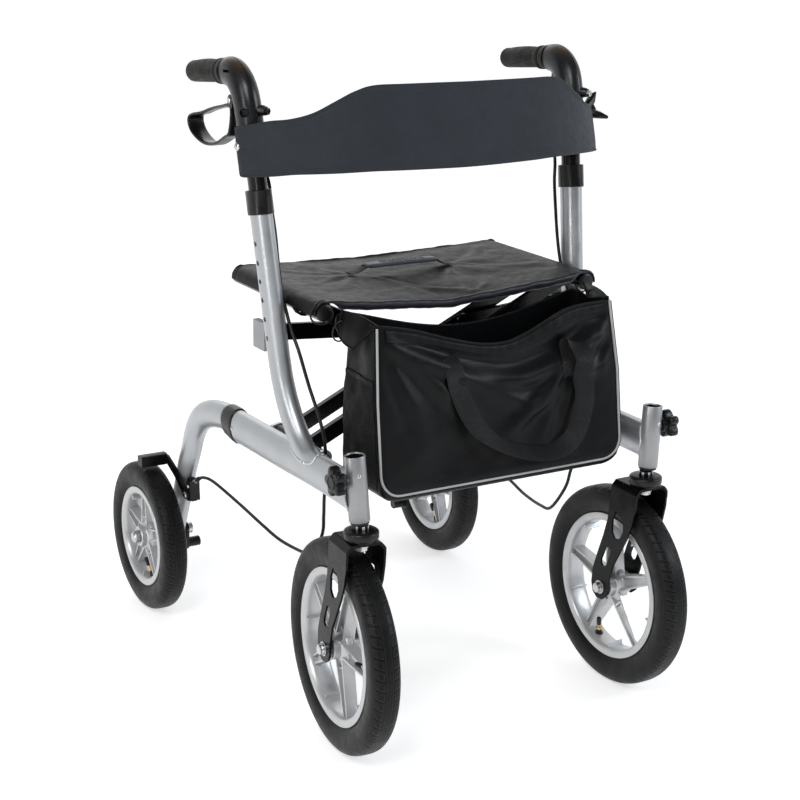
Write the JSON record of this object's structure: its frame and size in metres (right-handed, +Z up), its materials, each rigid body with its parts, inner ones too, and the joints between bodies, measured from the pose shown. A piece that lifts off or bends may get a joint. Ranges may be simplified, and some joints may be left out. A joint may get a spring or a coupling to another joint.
{
  "type": "rollator",
  "caption": "Folding walking frame on wheels with a sling seat, a bag under its front edge, a cloth back strap, loop hand brakes and height-adjustable handles.",
  "frame": {"origin": "On the floor, midway between the two side frames and midway between the foremost and the rearmost point of the wheels.", "axes": "+Z up; -Y is the front, the way the user walks; +X is the user's left."},
  "size_m": [0.6251, 0.8655, 0.9301],
  "materials": {
    "frame_silver": "satin silver paint",
    "housing_grey": "satin grey paint",
    "black_tube": "satin black coat",
    "black_plastic": "satin black moulding",
    "grip_rubber": "soft matt rubber",
    "tyre_black": "matt black rubber",
    "rim_silver": "silver moulded wheel",
    "fork_black": "gloss black coat",
    "steel": "plated",
    "seat_cloth": "woven nylon with a slight sheen",
    "bag_cloth": "black woven cloth",
    "back_cloth": "dark slate padded cloth",
    "cable_black": "cable sheath",
    "grey_plastic": "light grey moulding"
  },
  "bodies": {
    "left_frame": {"upright_left": "frame_silver", "upright_collar_left": "black_plastic", "main_tube_left": "frame_silver", "caster_housing_left": "housing_grey", "leg_sleeve_left": "black_plastic", "rear_leg_left": "frame_silver", "brake_anchor_left": "black_plastic", "tipping_pedal_left": "black_plastic", "rear_axle_left": "steel", "link_bracket_left": "grey_plastic", "brake_cable_left": "cable_black"},
    "right_frame": {"upright_right": "frame_silver", "upright_collar_right": "black_plastic", "main_tube_right": "frame_silver", "caster_housing_right": "housing_grey", "leg_sleeve_right": "black_plastic", "rear_leg_right": "frame_silver", "brake_anchor_right": "black_plastic", "tipping_pedal_right": "black_plastic", "rear_axle_right": "steel", "link_bracket_right": "grey_plastic", "brake_cable_right": "cable_black"},
    "cross_a": {"cross_brace_a": "black_tube", "cross_bolt": "steel"},
    "cross_b": {"cross_brace_b": "black_tube"},
    "rail_left": {"seat_rail_left": "black_tube"},
    "rail_right": {"seat_rail_right": "black_tube", "seat_fabric": "seat_cloth", "seat_pull_handle": "grey_plastic", "bag": "bag_cloth"},
    "link_left": {"fold_link_left": "black_tube"},
    "handle_left": {"handle_tube_left": "black_tube", "handle_elbow_left": "black_plastic", "grip_left": "grip_rubber"},
    "button_left": {"snap_button_left": "steel"},
    "lever_left": {"brake_lever_left": "black_plastic"},
    "arm_left": {"brake_arm_left": "black_plastic"},
    "caster_left": {"caster_fork_left": "fork_black", "front_axle_left": "steel"},
    "front_wheel_left": {"front_tyre_left": "tyre_black", "front_rim_left": "rim_silver"},
    "rear_wheel_left": {"rear_tyre_left": "tyre_black", "rear_rim_left": "rim_silver"},
    "knob_left": {"star_knob_left": "black_plastic"},
    "link_right": {"fold_link_right": "black_tube"},
    "handle_right": {"handle_tube_right": "black_tube", "handle_elbow_right": "black_plastic", "grip_right": "grip_rubber", "backrest": "back_cloth"},
    "button_right": {"snap_button_right": "steel"},
    "lever_right": {"brake_lever_right": "black_plastic"},
    "arm_right": {"brake_arm_right": "black_plastic"},
    "caster_right": {"caster_fork_right": "fork_black", "front_axle_right": "steel"},
    "front_wheel_right": {"front_tyre_right": "tyre_black", "front_rim_right": "rim_silver"},
    "rear_wheel_right": {"rear_tyre_right": "tyre_black", "rear_rim_right": "rim_silver"},
    "knob_right": {"star_knob_right": "black_plastic"},
    "side_knob": {"side_knob_left": "black_plastic"}
  },
  "joints": [
    {"name": "fold", "type": "hinge", "parent": "right_frame", "child": "cross_a", "pos_m": [-0.217, -0.13, 0.398], "axis": [0, -1, 0], "range_deg": [0, 46.5], "deforming": ["seat_fabric", "seat_pull_handle", "bag", "backrest"]},
    {"name": "cross_pivot", "type": "hinge", "parent": "cross_a", "child": "cross_b", "pos_m": [0, -0.107, 0.5005], "axis": [0, -1, 0], "range_deg": [-93, 0]},
    {"name": "left_frame_pivot", "type": "hinge", "parent": "cross_b", "child": "left_frame", "pos_m": [0.217, -0.13, 0.398], "axis": [0, -1, 0], "range_deg": [0, 46.5]},
    {"name": "rail_left_pivot", "type": "hinge", "parent": "cross_a", "child": "rail_left", "pos_m": [0.217, -0.117, 0.603], "axis": [0, -1, 0], "range_deg": [-46.5, 0]},
    {"name": "rail_right_pivot", "type": "hinge", "parent": "cross_b", "child": "rail_right", "pos_m": [-0.217, -0.117, 0.603], "axis": [0, -1, 0], "range_deg": [0, 46.5]},
    {"name": "link_right_pivot", "type": "hinge", "parent": "right_frame", "child": "link_right", "pos_m": [-0.236, -0.0605, 0.548], "axis": [0, -1, 0], "range_deg": [0, 74.4]},
    {"name": "link_left_pivot", "type": "hinge", "parent": "left_frame", "child": "link_left", "pos_m": [0.236, -0.089, 0.548], "axis": [0, -1, 0], "range_deg": [-74.4, 0]},
    {"name": "handle_height_right", "type": "slide", "parent": "right_frame", "child": "handle_right", "axis": [-0.0493, 0.1626, 0.9855], "range_m": [0, 0.125], "deforming": ["backrest"]},
    {"name": "handle_height_left", "type": "slide", "parent": "left_frame", "child": "handle_left", "axis": [0.0493, 0.1626, 0.9855], "range_m": [0, 0.125]},
    {"name": "button_press_right", "type": "slide", "parent": "handle_right", "child": "button_right", "axis": [0.9988, 0, 0.0499], "range_m": [0, 0.005], "stiffness_N_per_m": 300},
    {"name": "brake_lever_right", "type": "hinge", "parent": "handle_right", "child": "lever_right", "pos_m": [-0.267, -0.032, 0.873], "axis": [1, 0, 0], "range_deg": [0, 14], "stiffness_Nm_per_rad": 1, "springref_deg": -11.46},
    {"name": "button_press_left", "type": "slide", "parent": "handle_left", "child": "button_left", "axis": [-0.9988, 0, 0.0499], "range_m": [0, 0.005], "stiffness_N_per_m": 300},
    {"name": "brake_lever_left", "type": "hinge", "parent": "handle_left", "child": "lever_left", "pos_m": [0.267, -0.032, 0.873], "axis": [1, 0, 0], "range_deg": [0, 14], "stiffness_Nm_per_rad": 1, "springref_deg": -11.46},
    {"name": "brake_arm_right", "type": "hinge", "parent": "right_frame", "child": "arm_right", "pos_m": [-0.2523, 0.207, 0.221], "axis": [1, 0, 0], "range_deg": [-2.3, 0]},
    {"name": "brake_arm_left", "type": "hinge", "parent": "left_frame", "child": "arm_left", "pos_m": [0.2523, 0.207, 0.221], "axis": [1, 0, 0], "range_deg": [-2.3, 0]},
    {"name": "caster_swivel_right", "type": "hinge", "parent": "right_frame", "child": "caster_right", "pos_m": [-0.236, -0.338, 0.34], "axis": [0, 0, 1], "continuous": true},
    {"name": "front_spin_right", "type": "hinge", "parent": "caster_right", "child": "front_wheel_right", "pos_m": [-0.23153, -0.28118, 0.152], "axis": [0.9969, -0.0785, 0], "continuous": true},
    {"name": "rear_spin_right", "type": "hinge", "parent": "right_frame", "child": "rear_wheel_right", "pos_m": [-0.27675, 0.309, 0.1232], "axis": [1, 0, 0], "continuous": true},
    {"name": "star_knob_turn_right", "type": "hinge", "parent": "right_frame", "child": "knob_right", "pos_m": [-0.273, -0.3355, 0.414], "axis": [1, 0, 0], "continuous": true},
    {"name": "caster_swivel_left", "type": "hinge", "parent": "left_frame", "child": "caster_left", "pos_m": [0.236, -0.338, 0.34], "axis": [0, 0, 1], "continuous": true},
    {"name": "front_spin_left", "type": "hinge", "parent": "caster_left", "child": "front_wheel_left", "pos_m": [0.2354, -0.281, 0.152], "axis": [0.9999, 0.0105, 0], "continuous": true},
    {"name": "rear_spin_left", "type": "hinge", "parent": "left_frame", "child": "rear_wheel_left", "pos_m": [0.27675, 0.309, 0.1232], "axis": [1, 0, 0], "continuous": true},
    {"name": "star_knob_turn_left", "type": "hinge", "parent": "left_frame", "child": "knob_left", "pos_m": [0.273, -0.3355, 0.414], "axis": [1, 0, 0], "continuous": true},
    {"name": "side_knob_turn", "type": "hinge", "parent": "handle_left", "child": "side_knob", "pos_m": [0.2836, -0.066, 0.833], "axis": [1, 0, 0], "continuous": true}
  ],
  "couplings": [
    {"joint": "cross_pivot", "follows": "fold", "ratio": -2},
    {"joint": "left_frame_pivot", "follows": "fold", "ratio": 1},
    {"joint": "rail_left_pivot", "follows": "fold", "ratio": -1},
    {"joint": "rail_right_pivot", "follows": "fold", "ratio": 1},
    {"joint": "link_right_pivot", "follows": "fold", "ratio": 1.6},
    {"joint": "link_left_pivot", "follows": "fold", "ratio": -1.6},
    {"joint": "handle_height_left", "follows": "handle_height_right", "ratio": 1},
    {"joint": "brake_arm_right", "follows": "brake_lever_right", "ratio": -0.16},
    {"joint": "brake_arm_left", "follows": "brake_lever_left", "ratio": -0.16}
  ]
}
